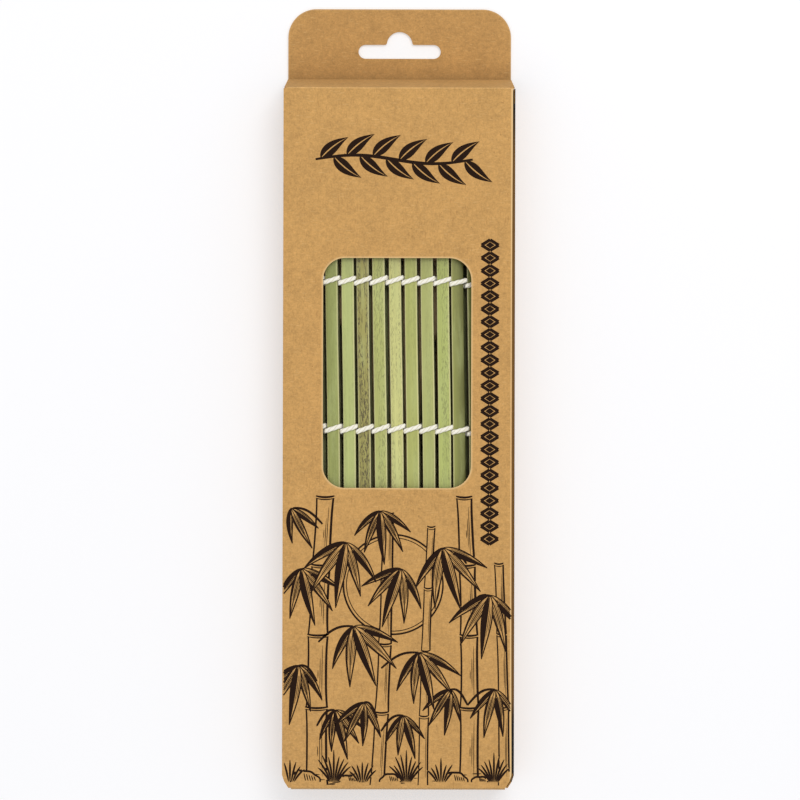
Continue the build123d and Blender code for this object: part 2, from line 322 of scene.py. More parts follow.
# faceAxis is the way that the board's broad faces look; all other faces are cut edges
def boardMaterial(name, faceAxis, base="face", rim=None, rimAmount=0.9, edge=None, seam=None, foot=None):
    material, tree, shader = newMaterial("kraft" + name)
    coords = addNode(tree, "TexCoord").outputs
    made = useGroup(tree, fibres, Place=coords["Object"], Base=paint(*kraft[base]))
    cut = ramp(tree, calc(tree, "ABSOLUTE", facing(tree, coords, faceAxis)), 0.5, 0.2)
    if rim:
        ring = useGroup(tree, band, Place=coords["Object"], **rim)["Mask"]
        cut = calc(tree, "MAXIMUM", cut, times(tree, ring, rimAmount))
    if edge:
        cut = calc(tree, "MAXIMUM", cut, ramp(tree, partsOf(tree, coords["Object"])["X"], *edge))
    colour = lay(tree, made["Colour"], cut, kraft["cutAmount"], kraft["cutEdge"])
    if seam:
        colour = seamGroove(tree, coords, colour, seam)
    if foot:
        colour = footShade(tree, coords, colour, foot)
    finishSurface(tree, shader, colour, made["Roughness"], bump(tree, made["Height"], *kraft["bump"]),
                  kraft["specular"])
    return material


frontBoard = boardMaterial("Front", (0, 0, 1), rim=windowRim, edge=rawEdge)
backBoard = boardMaterial("Back", (0, 0, 1), "backFace", tabRim, 0.4, foot=tabFoot)
sideBoard = boardMaterial("Side", (1, 0, 0))
seamSide = boardMaterial("SeamShadeSide", (1, 0, 0), seam=seamEdge)
seamFlap = boardMaterial("SeamShadeFlap", (0, 0, 1), seam=seamEdge)
endBoard = boardMaterial("End", (0, 1, 0), "endFace")
tuckBoard = boardMaterial("Tuck", (0, 1, 0.25), "endFace")
boards = {
    "front_panel": frontBoard, "glue_flap": seamFlap, "back_panel": backBoard, "hang_tab_ply": backBoard,
    "left_side": sideBoard, "right_side": seamSide, "top_flap": tuckBoard, "bottom_flap": tuckBoard,
    "top_dust_flap_left": endBoard, "top_dust_flap_right": endBoard,
    "bottom_dust_flap_left": endBoard, "bottom_dust_flap_right": endBoard,
}
for name, material in boards.items():
    dress(nodes[name], material)
print("kraft board on", len(boards), "panels")


# rounded creases between the panels; their lengths and all that follow are in millimetres

creases = {
    "radius": 0.33,
    "around": 12,
    "ringStep": 2.2,
    "mean": 0.97,  # the bead's radius rises and falls about this share of it
    "rise": 0.03,
    "wave": 6.1,
    "end": 0.8,
    "runs": {
        "foldTop": ((-43.7, 117.42, 21.672), (43.7, 117.42, 21.672)),
        "foldBottom": ((-41.3, -150.0, 0.33), (41.3, -150.0, 0.33)),
        "foldDustTopLeft": ((-43.86, 116.98, 1.7), (-43.86, 116.98, 18.2)),
        "foldDustTopRight": ((43.86, 116.98, 1.7), (43.86, 116.98, 18.2)),
        "foldDustLowLeft": ((-41.46, -149.38, 3.8), (-41.46, -149.38, 20.3)),
        "foldDustLowRight": ((41.46, -149.38, 3.8), (41.46, -149.38, 20.3)),
    },
}


# a crease = a thin round bead between two panels, its radius rising and falling by a slow sine
def makeCrease(name, start, end):
    start, end = np.array(start), np.array(end)
    length = np.linalg.norm(end - start)
    rings = max(4, int(length / creases["ringStep"]))
    t = np.linspace(0, 1, rings)
    way = (end - start) / length
    first = np.array([0.0, 1.0, 0.0])
    second = np.cross(way, first)
    turn = np.linspace(0, 2 * math.pi, creases["around"], endpoint=False)
    radius = creases["radius"] * (creases["mean"] + creases["rise"] * np.sin(t * length / creases["wave"]))
    radius = radius * np.where((t == 0) | (t == 1), creases["end"], 1)
    circle = np.cos(turn)[:, None] * first + np.sin(turn)[:, None] * second
    points = start + t[:, None, None] * (end - start) + radius[:, None, None] * circle[None]
    return putMesh(name, points.reshape(-1, 3) * mm, ringFaces(rings, creases["around"]))


creaseBoard = boardMaterial("Crease", (0, 0, 1), "creaseFace")
for name, (start, end) in creases["runs"].items():
    bead = makeCrease(name, start, end)
    dress(bead, creaseBoard)
    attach(bead, "carton")
print("creases made:", len(creases["runs"]))


# the way that the mat lies, rolled flat in three layers

mat = {
    "slats": 38,
    "pitch": 6.07,
    "width": 4.7,
    "thickness": 1.8,
    "crown": 0.25,
    "edgeCut": 0.3,
    "length": 244.0,
    "middleY": -12.6,
    "firstX": -37.948,
    "topZ": 19.013,
    "topRun": 57.152,
    "shoulderRadius": 20.0,
    "shoulderTurn": math.radians(20),
    "slopeRun": 4.7,
    "rightFold": 6.501,
    "backRun": 62.482,
    "leftFold": 5.499,
    "sag": math.radians(3),
    "leanAt": 9.0,
    "leanReach": 50.0,
    "lean": 0.9,
    "aside": 0.3,
    "rings": 45,
    "waves": [(0.012, 31), (0.008, 13), (0.05, 44), (0.12, 70)],  # size and run of each slow sine
    "endTaper": 0.05,
    "hiddenShift": 0.12,
    "grainRun": 300,  # each slat takes its grain from another place in this run
}
# each leg's run or radius, and its turn
matWay = [
    (mat["topRun"], 0.0), (mat["shoulderRadius"], mat["shoulderTurn"]), (mat["slopeRun"], 0.0),
    (mat["rightFold"], math.pi - mat["shoulderTurn"]), (mat["backRun"], 0.0),
    (mat["leftFold"], math.pi + mat["sag"]), (1000.0, 0.0),
]


# how far a leg goes in x and z, and the heading, after a step along it: a straight run, or an arc that
# turns downwards
def alongLeg(size, turn, angle, step):
    if not turn:
        return step * math.cos(angle), step * math.sin(angle), angle
    end = angle - step / size
    return size * (math.sin(angle) - np.sin(end)), size * (np.cos(end) - math.cos(angle)), end


def unit(vectors):
    return vectors / np.linalg.norm(vectors, axis=1, keepdims=True)


# x, z and heading at each distance; before the first slat the way runs on straight
def wayPoint(distance):
    x, z, angle, done = mat["firstX"], mat["topZ"], 0.0, 0.0
    out = [x + distance, np.full_like(distance, z), np.zeros_like(distance)]
    for size, turn in matWay:
        length = size * turn if turn else size
        stepX, stepZ, heading = alongLeg(size, turn, angle, np.clip(distance - done, 0, length))
        here = (x + stepX, z + stepZ, heading)
        out = [np.where(distance >= done, new, old) for new, old in zip(here, out)]
        stepX, stepZ, angle = alongLeg(size, turn, angle, length)
        x, z, done = x + stepX, z + stepZ, done + length
    return out


# the whole mat lies a little to the right and leans in the carton: a smooth step, steepest in the window
def leanOf(y):
    place = (y - mat["leanAt"]) / mat["leanReach"]
    return mat["aside"] - mat["lean"] * place / np.sqrt(1 + place * place)


# bamboo slats

slatTints = {
    # the seen slats' tints; the last two are darker, painted shade where the mat turns away
    "seen": [(142, 148, 76), (174, 181, 108), (152, 144, 73), (171, 174, 97), (197, 195, 121),
             (169, 172, 92), (166, 169, 97), (169, 177, 95), (136, 138, 63), (117, 120, 55)],
    "firstSeen": 2,
    "shifts": [0.05, 0.14, 0.0, 0.05, 0.14, 0.23, 0.1, 0.19, -0.3, -0.35],
    "other": [(158, 166, 96), (172, 176, 108), (150, 156, 88), (180, 182, 116), (164, 162, 96)],
    "cream": (222, 216, 158),
    # painted shade: the slats' sides, dark brown so that the gaps between slats look unlit
    "shadedSides": (46, 30, 10),
    # painted shade on the layers below, near the window: from which slat, middle, reach, fade and amount
    "shadedLayers": {"from": 12, "middle": 8.7, "reach": 42.0, "fade": 12.0, "amount": 0.62},
    "speck": (66, 54, 24),
    # painted shade over one slat towards its +x edge, where the mat turns away under the window
    "shadedEdge": (10, 0.62, 0.35),  # slat, amount, and how far in it starts
    "spotted": 4,
    "fewSpecks": (0.16, 0.3, 0.8),  # least, how much more, and the share of slats that stay at the least
    # painted shade near the window's top and low ends: grows from, full at, fades from, gone at, amount
    "shadeTop": (0.0405, 0.0532, 0.056, 0.07, 0.19),
    "shadeLow": (-0.0275, -0.0358, -0.038, -0.052, 0.11),
}


# slat section: flat inner face, cut corners, crowned skin face z = top - crown * (x / half)^2
def slatSection():
    half, crown, cut = mat["width"] / 2, mat["crown"], mat["edgeCut"]
    low, top = -mat["thickness"] / 2, mat["thickness"] / 2
    across = np.linspace(half - 0.12, -half + 0.12, 11)
    skin = np.stack([across, top - crown * (across / half) ** 2], 1)
    left = np.array([(-half + 0.03, top - crown - 0.05), (-half, top - crown - 0.18), (-half, low + cut),
                     (-half + 0.1, low + 0.1), (-half + cut, low)])
    return np.concatenate([skin, left, (left * (-1, 1))[::-1]])


# slat = section carried along y; its width (two sines), the height of its skin and its place across
# (one sine each) change slowly with y. After the points comes where each of them is in the slat itself
def slatPoints(x, z, angle, shift, rng):
    section = slatSection()
    reach = np.linspace(-0.5, 0.5, mat["rings"]) * mat["length"]
    phases = rng.uniform(0, 2 * math.pi, 4)
    waves = [size * np.sin(reach / run + phase) for (size, run), phase in zip(mat["waves"], phases)]
    wide = 1 + waves[0] + waves[1]
    rise = waves[2]
    bow = waves[3] * (1 - (2 * reach / mat["length"]) ** 8)
    ends = 1 - mat["endTaper"] * (np.abs(2 * reach / mat["length"]) > 0.999)
    across = section[:, 0] * (wide * ends)[:, None] + bow[:, None] + shift
    up = section[:, 1] * ends[:, None] + rise[:, None] * (section[:, 1] > 0)
    y = np.broadcast_to(reach[:, None] + mat["middleY"], across.shape)
    px = x + across * math.cos(angle) - up * math.sin(angle) + leanOf(y)
    pz = z + across * math.sin(angle) + up * math.cos(angle)
    points = np.stack([px, y, pz], -1)[::-1] * mm
    own = np.stack([across - bow[:, None] - shift, y, up], -1)[::-1]
    return points.reshape(-1, 3), own.reshape(-1, 3)


# each point's tint; its alpha is 1 where the slat is unshaded, and less where painted shade lies
# on one slat's +x edge or on the lower layers near the window
def slatColours(index, tint, across, y):
    colours = np.tile(paint(*tint), (len(y), 1))
    shadedSlat, darkAmount, shadeFrom = slatTints["shadedEdge"]
    if index == shadedSlat:
        dark = np.clip(across / mat["width"] + shadeFrom, 0, 1)
        colours[:, :3] *= (1 - darkAmount * dark)[:, None]
        colours[:, 3] = 1 - dark
    shadedLayers = slatTints["shadedLayers"]
    if index >= shadedLayers["from"]:
        away = np.abs(y - shadedLayers["middle"]) - shadedLayers["reach"]
        colours[:, 3] = 1 - shadedLayers["amount"] * np.clip(1 - away / shadedLayers["fade"], 0, 1)
        colours[:, :3] *= colours[:, 3:]
    return colours


def makeSlat(index, x, z, angle, rng):
    seen = index - slatTints["firstSeen"]
    inView = 0 <= seen < len(slatTints["seen"])
    shift = slatTints["shifts"][seen] if inView else rng.uniform(-mat["hiddenShift"], mat["hiddenShift"])
    points, own = slatPoints(x, z, angle, shift, rng)
    faces = ringFaces(mat["rings"], len(points) // mat["rings"])
    piece = putMesh("bambooSlat_%02d" % (index + 1), points, faces)
    putAttribute(piece, "slatPlace", "FLOAT_VECTOR", own + (0, mat["grainRun"] * rng.uniform(), 0))
    others = slatTints["other"]
    tint = slatTints["seen"][seen] if inView else others[rng.integers(len(others))]
    putAttribute(piece, "slatTint", "FLOAT_COLOR", slatColours(index, tint, own[:, 0], own[:, 1]))
    least, more, share = slatTints["fewSpecks"]
    speck = 1.0 if index == slatTints["spotted"] else least + more * (rng.uniform() > share)
    putAttribute(piece, "slatSpeck", "FLOAT", np.full(len(points), speck))
    return piece


# a shade that grows from the first place to the second and fades from the third to the fourth
def shadeBetween(tree, along, first, second, third, fourth, amount):
    grown = ramp(tree, along, first, second, 0.0, amount)
    return times(tree, grown, ramp(tree, along, fourth, third))


skinLook = {
    # how each noise is drawn out along the slat, its detail and its roughness
    "lines": ((5.0, 0.08, 5.0), 3.0, 0.6),
    "streaks": ((0.9, 0.012, 0.9), 2.0, 0.5),
    "patches": ((0.3, 0.05, 0.3), 2.0, 0.5),
    "spots": ((2.6, 0.55, 2.6), 3.0, 0.65),
    "zone": ((0.5, 0.02, 0.5), 1.0, 0.5),
    "dashes": ((2.6, 0.16, 2.6), 2.5, 0.6),
    "lineLift": (0.3, 0.85),
    "streakLift": 0.36,
    "patch": (184, 192, 124),
    "patchAmount": 0.35,
    "markAmount": 0.88,
    "shadedSidesAmount": 0.92,
    "bump": (0.3, 0.00012),
}


# dark specks on every slat, thicker in some zones, and dashes on the spotted one
def slatMarks(tree, place, many):
    spots = ramp(tree, drawnNoise(tree, place, *skinLook["spots"]), 0.5, 0.58)
    zone = ramp(tree, drawnNoise(tree, place, *skinLook["zone"]), 0.36, 0.54)
    dashes = ramp(tree, drawnNoise(tree, place, *skinLook["dashes"]), 0.57, 0.63)
    return calc(tree, "MAXIMUM", times(tree, times(tree, spots, many), zone),
                times(tree, dashes, ramp(tree, many, 0.6, 0.9)))


# bamboo skin: fine lines and wide streaks are noise drawn out along the slat; the two edges and
# the inner face are cream, the +x edge with a painted highlight; the sides are painted dark brown as
# shade, and painted shade darkens the slats near the window's ends
def bambooSkin():
    material, tree, shader = newMaterial("bambooSkin")
    place = attribute(tree, "slatPlace")["Vector"]
    tinted = attribute(tree, "slatTint")
    tint, unshaded = tinted["Color"], tinted["Alpha"]
    lines = drawnNoise(tree, place, *skinLook["lines"])
    streaks = drawnNoise(tree, place, *skinLook["streaks"])
    patches = drawnNoise(tree, place, *skinLook["patches"])
    lift = calc(tree, "MULTIPLY_ADD", lines, *skinLook["lineLift"])
    lift = calc(tree, "ADD", lift, swing(tree, streaks, skinLook["streakLift"]))
    colour = brighten(tree, tint, lift)
    colour = mixColour(tree, ramp(tree, patches, 0.45, 0.75, 0.0, skinLook["patchAmount"]), colour,
                       paint(*skinLook["patch"]))
    marks = slatMarks(tree, place, attribute(tree, "slatSpeck")["Fac"])
    colour = lay(tree, colour, marks, skinLook["markAmount"], slatTints["speck"])
    apart = partsOf(tree, place)
    wide = calc(tree, "ABSOLUTE", apart["X"])
    # cream edges; the +x edge's wider, stronger pale band is a painted highlight, lit from the right
    edge = calc(tree, "MAXIMUM", ramp(tree, apart["X"], 1.7, 2.1, 0.0, 0.62),
                ramp(tree, wide, 1.85, 2.2, 0.0, 0.5))
    under = ramp(tree, apart["Z"], 0.5, 0.3)
    pale = calc(tree, "MAXIMUM", times(tree, edge, unshaded), under)
    cream = brighten(tree, paint(*slatTints["cream"]), times(tree, lift, unshaded))
    colour = mixColour(tree, pale, colour, cream)
    # painted shade: the sides are painted dark brown, as they would look in shade
    shadedSides = times(tree, ramp(tree, wide, 2.1, 2.22), ramp(tree, apart["Z"], 0.58, 0.44))
    colour = lay(tree, colour, shadedSides, skinLook["shadedSidesAmount"], slatTints["shadedSides"])
    # painted shade: the slats are darker near the window's two ends, as if the front panel's edge shaded them
    along = partsOf(tree, objectPlace(tree))["Y"]
    paintedWindowShade = calc(tree, "ADD", shadeBetween(tree, along, *slatTints["shadeTop"]),
                shadeBetween(tree, along, *slatTints["shadeLow"]))
    colour = darken(tree, colour, paintedWindowShade)
    rough = calc(tree, "MULTIPLY_ADD", pale, 0.25, calc(tree, "MULTIPLY_ADD", lines, 0.2, 0.36))
    finishSurface(tree, shader, colour, rough, bump(tree, lines, *skinLook["bump"]))
    return material


rng = np.random.default_rng(38)
skin = bambooSkin()
stationX, stationZ, stationAngle = wayPoint(np.arange(mat["slats"]) * mat["pitch"])
for index in range(mat["slats"]):
    slat = makeSlat(index, stationX[index], stationZ[index], stationAngle[index], rng)
    dress(slat, skin)
    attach(slat, "mat")
    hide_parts("slat_%02d" % (index + 1))
print("slats made:", mat["slats"])


# cotton yarn twined round the slats

yarn = {
    "rows": (-126.0, -69.3, -12.6, 44.1, 100.8),
    "lift": 1.4,
    "slant": 2.1,
    "tail": 1.6,
    "wide": 1.72,
    "thin": 0.9,
    "plies": 3,
    "twist": 2.4,
    "step": 0.32,
    "around": 12,
    "swell": 0.09,
    "tipRun": 0.5,
    "tipShare": 0.35,
    "fineStep": 0.08,
    "spans": (9, 7),
    "wander": (0.12, 1.3),
    "droop": (1.5, 11.6, 1.7),  # depth, the slat it is deepest at, and how many slats it reaches
    "colour": (250, 246, 230),
    "grooveShade": (214, 202, 168),
}


# each slat's centre and its ways along the mat and outwards, with one more at both ends, and each gap's
# middle and the way across it
def gapPoints():
    distance = np.arange(-1, mat["slats"] + 1) * mat["pitch"]
    x, z, angle = wayPoint(distance)
    centre = np.stack([x, z], 1)
    along = np.stack([np.cos(angle), np.sin(angle)], 1)
    out = np.stack([-np.sin(angle), np.cos(angle)], 1)
    half = mat["width"] / 2
    middle = (centre[:-1] + along[:-1] * half + centre[1:] - along[1:] * half) / 2
    return centre, along, out, middle, unit(out[:-1] + out[1:])


def runAlong(points):
    return np.concatenate([[0], np.cumsum(np.linalg.norm(np.diff(points, axis=0), axis=1))])


def pointsAt(places, run, points):
    return np.stack([np.interp(places, run, column) for column in points.T], 1)


# a smooth line through a stitch's corners: even steps along the runs, then two sliding averages
def smoothLine(corners):
    run = runAlong(corners)
    line = pointsAt(np.arange(0, run[-1], yarn["fineStep"]), run, corners)
    for span in yarn["spans"]:
        padded = np.concatenate([np.repeat(line[:1], span // 2, 0), line, np.repeat(line[-1:], span // 2, 0)])
        line = np.stack([np.convolve(column, np.ones(span) / span, "valid") for column in padded.T], 1)
    run = runAlong(line)
    even = np.linspace(0, run[-1], int(run[-1] / yarn["step"]))
    return pointsAt(even, run, line), even


# a row wanders a little, and droops where the mat turns down at the shoulder (a bell curve)
def rowDroop(place):
    size, pace = yarn["wander"]
    depth, middle, reach = yarn["droop"]
    return size * np.sin(place * pace) - depth * np.exp(-((place - middle) / reach) ** 2)


# a strand's corners: in each gap it stands at the lift over or under the slat that the stitch belongs to,
# and from gap to gap it slants along y
def strandCorners(rowY, phase):
    centre, along, out, middle, across = gapPoints()
    side = np.where((np.arange(mat["slats"]) + phase) % 2 == 0, 1.0, -1.0)
    own = slice(1, -1)
    height = side * yarn["lift"]

    def meet(gap):
        rise = height - ((middle[gap] - centre[own]) * out[own]).sum(1)
        reach = rise / (across[gap] * out[own]).sum(1)
        return middle[gap] + across[gap] * reach[:, None]

    entry = meet(slice(0, -1))
    leave = meet(slice(1, None))
    entry[0] -= along[1] * yarn["tail"]
    leave[-1] += along[-2] * yarn["tail"]
    slant = side * yarn["slant"] / 2
    place = np.arange(mat["slats"])
    ends = (entry, rowY + rowDroop(place - 0.5) - slant), (leave, rowY + rowDroop(place + 0.5) + slant)
    return np.stack([np.stack([at[:, 0], y, at[:, 1]], 1) for at, y in ends], 1).reshape(-1, 3)


# yarn = a flattened tube along the line, its radius swollen by the plies, which turn as they go
def makeYarn(name, rowY):
    allPoints, allFaces, allPlace = [], [], []
    start = 0
    for phase in (0, 1):
        line, run = smoothLine(strandCorners(rowY, phase))
        line[:, 0] += leanOf(line[:, 1])
        tangent = unit(np.gradient(line, axis=0))
        up = np.array([0.0, 1.0, 0.0])
        broad = unit(up - tangent * (tangent @ up)[:, None])
        narrow = np.cross(broad, tangent)
        turn = np.linspace(0, 2 * math.pi, yarn["around"], endpoint=False)[None, :]
        twist = run[:, None] * 2 * math.pi / (yarn["twist"] * yarn["plies"])
        swell = 1 + yarn["swell"] * np.cos(yarn["plies"] * (turn - twist))
        fade = np.clip(np.minimum(run, run[-1] - run) / yarn["tipRun"], yarn["tipShare"], 1)[:, None]
        a = (swell * np.cos(turn) * fade * yarn["wide"] / 2)[..., None] * broad[:, None, :]
        b = (swell * np.sin(turn) * fade * yarn["thin"] / 2)[..., None] * narrow[:, None, :]
        points = line[:, None, :] + a + b
        allPoints.append(points.reshape(-1, 3))
        allFaces += ringFaces(len(line), yarn["around"], start)
        place = np.stack(np.broadcast_arrays(run[:, None], (turn - twist) * yarn["plies"],
                                             np.full_like(turn, phase)), -1)
        allPlace.append(place.reshape(-1, 3))
        start += len(line) * yarn["around"]
    piece = putMesh(name, np.concatenate(allPoints) * mm, allFaces)
    putAttribute(piece, "yarnPlace", "FLOAT_VECTOR", np.concatenate(allPlace))
    return piece


# cotton: cream, with painted shade in the grooves between plies (cosine of the turned angle), fine fibre
# noise
def cottonYarn():
    material, tree, shader = newMaterial("cottonYarn")
    turned = partsOf(tree, attribute(tree, "yarnPlace")["Vector"])["Y"]
    grooveShade = ramp(tree, calc(tree, "COSINE", turned), -0.2, -1.0)
    fuzz = noise(tree, objectPlace(tree), 2600.0, 3.0, 0.7)
    colour = lay(tree, paint(*yarn["colour"]), grooveShade, 0.55, yarn["grooveShade"])
    colour = brighten(tree, colour, calc(tree, "MULTIPLY_ADD", fuzz, 0.2, 0.88))
    finishSurface(tree, shader, colour, ramp(tree, fuzz, 0.2, 0.8, 0.75, 0.95),
                  bump(tree, fuzz, 0.5, 0.0001), 0.2)
    return material


cotton = cottonYarn()
for number, rowY in enumerate(yarn["rows"], 1):
    row = makeYarn("twinedYarn_%d" % number, rowY)
    dress(row, cotton)
    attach(row, "mat")
    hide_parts("string_row_%d" % number)
print("yarn rows made:", len(yarn["rows"]))


# the spatula keeps its CAD shape

spatula = {
    "colour": (224, 190, 134),
    "dash": (168, 124, 74),
    "lines": ((2.2, 0.03, 2.2), 3.0, 0.6),
    "dashes": ((3.4, 0.12, 3.4), 1.5, 0.5),
}


# sanded bamboo: long fibres as drawn-out noise, with darker dashes of vascular bundles
def sandedBamboo():
    material, tree, shader = newMaterial("sandedBamboo")
    place = toMillimetres(tree, objectPlace(tree))
    lines = drawnNoise(tree, place, *spatula["lines"])
    dashes = ramp(tree, drawnNoise(tree, place, *spatula["dashes"]), 0.62, 0.7)
    colour = brighten(tree, paint(*spatula["colour"]), calc(tree, "MULTIPLY_ADD", lines, 0.4, 0.8))
    colour = lay(tree, colour, dashes, 0.5, spatula["dash"])
    finishSurface(tree, shader, colour, ramp(tree, lines, 0.2, 0.8, 0.4, 0.6),
                  bump(tree, lines, 0.25, 0.0001))
    return material


dress(nodes["spatula"], sandedBamboo())


# printed bamboo grove and plain ornaments

panel = {"left": -44.25, "right": 43.35, "low": -149.7, "top": 117.3, "face": 22.002}
ink = {
    "height": 0.012,
    "sunk": 0.02,
    "layers": 12,  # strokes that cross stand at different heights
    "layerStep": 0.0006,
    "step": 0.25,
    "colour": (30, 13, 3),
    "worn": (92, 62, 34),
    "wornAmount": 0.4,
}


# which points lie inside a closed shape, by counting the edges crossed along +x
def insideShape(points, shape):
    x, y = points[:, 0][:, None], points[:, 1][:, None]
    ax, ay = shape[:, 0], shape[:, 1]
    bx, by = np.roll(ax, -1), np.roll(ay, -1)
    spans = (ay > y) != (by > y)
    level = by - ay
    crossing = ax + (y - ay) * (bx - ax) / np.where(level == 0, 1e-9, level)
    return (spans & (x < crossing)).sum(1) % 2 == 1


def evenLine(points):
    points = np.array(points)
    run = runAlong(points)
    return pointsAt(np.linspace(0, run[-1], max(3, int(run[-1] / ink["step"]) + 1)), run, points)


class inkSheet:
    # strokes are drawn front to back: each closed shape hides what is drawn after it

    def __init__(self, low, high, keepOut=()):
        self.low, self.high = low, high
        self.shapes = list(keepOut)
        self.points, self.faces, self.count, self.layer = [], [], 0, 0

    def hide(self, shape):
        self.shapes.append(shape)

    # one stroke: width swells from its thin ends to its middle, w = width * (ends + (1-ends) sin(pi t)^0.6)
    def stroke(self, points, width, ends):
        line = evenLine(points)
        t = np.linspace(0, 1, len(line))
        w = width * (ends + (1 - ends) * np.sin(math.pi * t) ** 0.6) / 2
        tangent = unit(np.gradient(line, axis=0))
        normal = np.stack([-tangent[:, 1], tangent[:, 0]], 1)
        keep = ((line > self.low) & (line < self.high)).all(1)
        for shape in self.shapes:
            keep &= ~insideShape(line, shape)
        marks = np.flatnonzero(np.diff(np.concatenate([[0], keep.astype(int), [0]])))
        for first, last in zip(marks[::2], marks[1::2]):
            if last - first < 3:
                continue
            pick = np.unique(np.concatenate([np.arange(first, last, 2), [last - 1]]))
            self.ribbon(line[pick], normal[pick], w[pick])

    def nextHeights(self):
        self.layer = (self.layer + 1) % ink["layers"]
        return panel["face"] - ink["sunk"], panel["face"] + ink["height"] + self.layer * ink["layerStep"]

    def ribbon(self, line, normal, w):
        low, top = self.nextHeights()
        aside = normal * w[:, None]
        sides = ((line + aside, top), (line + aside, low), (line - aside, low), (line - aside, top))
        ring = np.stack([np.column_stack([side, np.full(len(w), z)]) for side, z in sides], 1)
        self.points.append(ring.reshape(-1, 3))
        self.faces += ringFaces(len(w), 4, self.count)
        self.count += len(w) * 4

    # a filled closed shape, left out unless all of its corners stand on bare board
    def blot(self, shape):
        within = ((shape >= self.low) & (shape <= self.high)).all()
        if not within or any(insideShape(shape, other).any() for other in self.shapes):
            return
        count = len(shape)
        self.points += [np.column_stack([shape, np.full(count, z)]) for z in self.nextHeights()]
        self.faces += ringFaces(2, count, self.count)
        self.count += 2 * count

    def make(self, name):
        return putMesh(name, np.concatenate(self.points) * mm, self.faces, smooth=False)


leafShape = {"points": 26, "fullness": 0.72, "taper": 0.25, "bendFrom": 0.2,
             "shade": 0.44, "underSide": 1.35, "rib": 0.8, "vein": 0.5}


# a leaf's rib and two sides: half width = w / 2 * sin(pi t^fullness) * (1 - taper t), bent by a slow curve
def leafSides(base, angle, length, width, bend):
    t = np.linspace(0, 1, leafShape["points"])
    spread = width / 2 * np.sin(math.pi * t ** leafShape["fullness"]) * (1 - leafShape["taper"] * t)
    turn = angle + bend * (t - leafShape["bendFrom"])
    step = length / (leafShape["points"] - 1)
    midX = base[0] + np.concatenate([[0], np.cumsum(np.cos(turn[:-1]) * step)])
    midY = base[1] + np.concatenate([[0], np.cumsum(np.sin(turn[:-1]) * step)])
    mid = np.stack([midX, midY], 1)
    normal = np.stack([-np.sin(turn), np.cos(turn)], 1)
    return mid, mid + normal * spread[:, None], mid - normal * spread[:, None]


def drawLeaf(sheet, base, angle, length, width, bend, lineWidth, veins, solid):
    mid, left, right = leafSides(base, angle, length, width, bend)
    if solid:
        sheet.stroke((mid + (right - mid) * 0.5)[1:-2], width * leafShape["shade"], 0.05)
    sheet.stroke(left, lineWidth, 0.5)
    sheet.stroke(right, lineWidth * leafShape["underSide"], 0.5)
    sheet.stroke(mid[:-2], lineWidth * leafShape["rib"], 0.4)
    for k in range(1, veins + 1):
        share = k / (veins + 1)
        for side in (left, right):
            line = mid + (side - mid) * share
            sheet.stroke(line[4:-7 - 2 * k], lineWidth * leafShape["vein"], 0.2)
    sheet.hide(np.concatenate([left, right[::-1]]))


# the places of a fan's leaves or blades, from -1 at one end to 1 at the other
def fanPlaces(count):
    middle = (count - 1) / 2
    return (np.arange(count) - middle) / middle


# a spray: leaves fan from one joint, the middle one longest
def drawSpray(sheet, base, angle, count, fan, length, rng, lineWidth=0.55):
    places = fanPlaces(count)
    for k in np.argsort(np.abs(places)):
        place = places[k]
        size = length * (1 - 0.28 * abs(place)) * rng.uniform(0.92, 1.06)
        bend = -0.35 * place + rng.uniform(-0.1, 0.1)
        drawLeaf(sheet, base, angle + place * fan / 2, size, size * 0.17, bend, lineWidth,
                 2 if size > 16 else 1, solid=k % 2 == 0)


caneShape = {"spacing": 0.93, "gap": 0.004, "taper": 0.25, "waist": 0.12, "ring": 1.1, "ringDrop": 0.9,
             "underSide": 1.3, "shade": 0.42}


# a cane: two sides that narrow a little in the middle of each length and flare at its joints
def drawCane(sheet, foot, top, lean, width, joints, curve=0.0, lineWidth=0.7, shade=3):
    marks = np.linspace(0, 1, joints + 1) ** caneShape["spacing"]
    height = top - foot[1]
    gap, taper, waist = caneShape["gap"], caneShape["taper"], caneShape["waist"]

    def middle(t):
        return np.stack([foot[0] + lean * t + curve * np.sin(math.pi * t), foot[1] + height * t], 1)

    sides = []
    for a, b in zip(marks[:-1], marks[1:]):
        t = np.linspace(a + gap, b - gap, 24)
        own = (t - a) / (b - a)
        half = width / 2 * (1 - taper * t) * (1 - waist + waist * np.abs(2 * own - 1) ** 3)
        mid = middle(t)
        aside = np.stack([half, np.zeros_like(half)], 1)
        left, right = mid - aside, mid + aside
        sheet.stroke(left, lineWidth, 0.8)
        sheet.stroke(right, lineWidth * caneShape["underSide"], 0.8)
        for k in range(shade):
            line = mid + aside * (0.55 - 0.22 * k)
            sheet.stroke(line[3 + 3 * k:21 - 4 * k], lineWidth * caneShape["shade"], 0.2)
        reach = width / 2 * (1 - taper * b) * caneShape["ring"]
        bow = np.linspace(-1, 1, 12)
        cap = middle(np.full(12, b)) + np.stack([bow * reach, 0.35 - 0.5 * (1 - bow ** 2)], 1)
        sheet.stroke(cap, lineWidth * 1.2, 0.6)
        sheet.stroke(cap + (0, -caneShape["ringDrop"]), lineWidth * 0.7, 0.4)
        sides.append(np.concatenate([left, right[::-1]]))
    for shape in sides:
        sheet.hide(shape)


# a tuft: narrow blades fan up from one root
def drawTuft(sheet, root, count, height, rng):
    for place in fanPlaces(count):
        tall = height * (1 - 0.35 * abs(place)) * rng.uniform(0.85, 1.1)
        angle = math.pi / 2 - 0.55 * place
        mid, left, right = leafSides((root[0] + 1.6 * place, root[1]), angle, tall, 0.9, -0.5 * place)
        sheet.stroke(mid, 0.8, 0.15)
        sheet.hide(np.concatenate([left, right[::-1]]))


